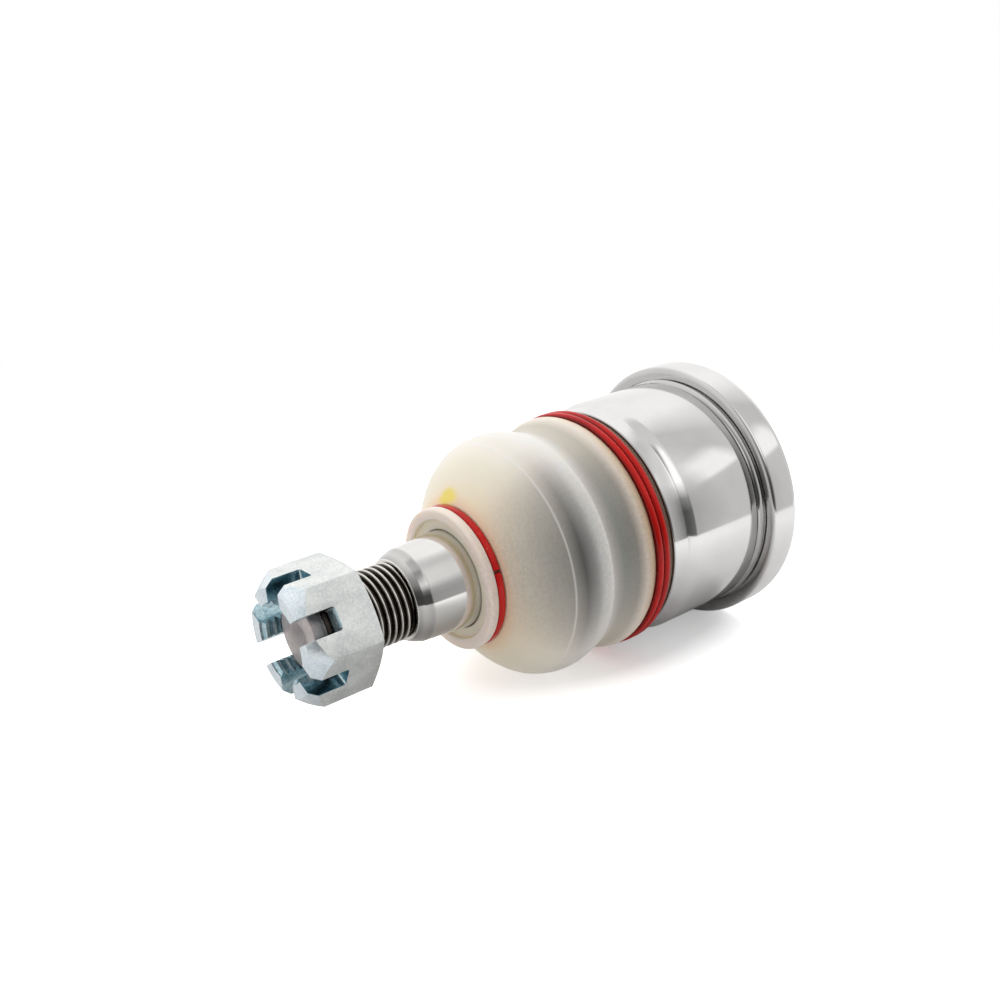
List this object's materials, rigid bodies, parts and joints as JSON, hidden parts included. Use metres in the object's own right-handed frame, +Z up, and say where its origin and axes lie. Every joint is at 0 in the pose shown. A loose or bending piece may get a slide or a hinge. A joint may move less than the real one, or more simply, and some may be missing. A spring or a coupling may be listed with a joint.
{
  "type": "suspension ball joint",
  "caption": "Press-in ball joint: flanged steel housing, swivelling tapered stud with castle nut, translucent boot and red clamp rings.",
  "frame": {"origin": "centre of the ball, the point about which the stud swings", "axes": "+X along the housing's axis from the ball to the flange; the stud points to -X; +Z up with the part lying on its side, and one pair of the nut's slots upright"},
  "size_m": [0.1112, 0.059, 0.059],
  "materials": {
    "housing_steel": "fine turned, bright",
    "cover_steel": "stamped",
    "spring_steel": "phosphated",
    "bearing_polymer": "moulded acetal",
    "stud_steel": "ground",
    "zinc_plated_nut": "clear zinc plate",
    "boot_silicone": "translucent, matt",
    "red_ring": "red coated wire"
  },
  "bodies": {
    "housing_body": {"housing": "housing_steel", "end_cover": "cover_steel", "preload_spring": "spring_steel", "pressure_cup": "bearing_polymer", "bearing_seat": "bearing_polymer"},
    "boot_body": {"dust_boot": "boot_silicone", "boot_large_ring": "red_ring"},
    "collar_body": {"boot_small_ring": "red_ring"},
    "stud_body": {"ball_stud": "stud_steel"},
    "nut_body": {"castle_nut": "zinc_plated_nut"}
  },
  "joints": [
    {"name": "swing_direction", "type": "hinge", "parent": "housing_body", "child": "boot_body", "pos_m": [0, 0, 0], "axis": [1, 0, 0], "continuous": true},
    {"name": "stud_swing", "type": "hinge", "parent": "boot_body", "child": "collar_body", "pos_m": [0, 0, 0], "axis": [0, 1, 0], "range_deg": [-25, 25], "deforming": ["dust_boot"]},
    {"name": "stud_spin", "type": "hinge", "parent": "collar_body", "child": "stud_body", "pos_m": [0, 0, 0], "axis": [1, 0, 0], "continuous": true},
    {"name": "nut_turn", "type": "hinge", "parent": "stud_body", "child": "nut_body", "pos_m": [-0.082, 0, 0], "axis": [-1, 0, 0], "continuous": true}
  ]
}
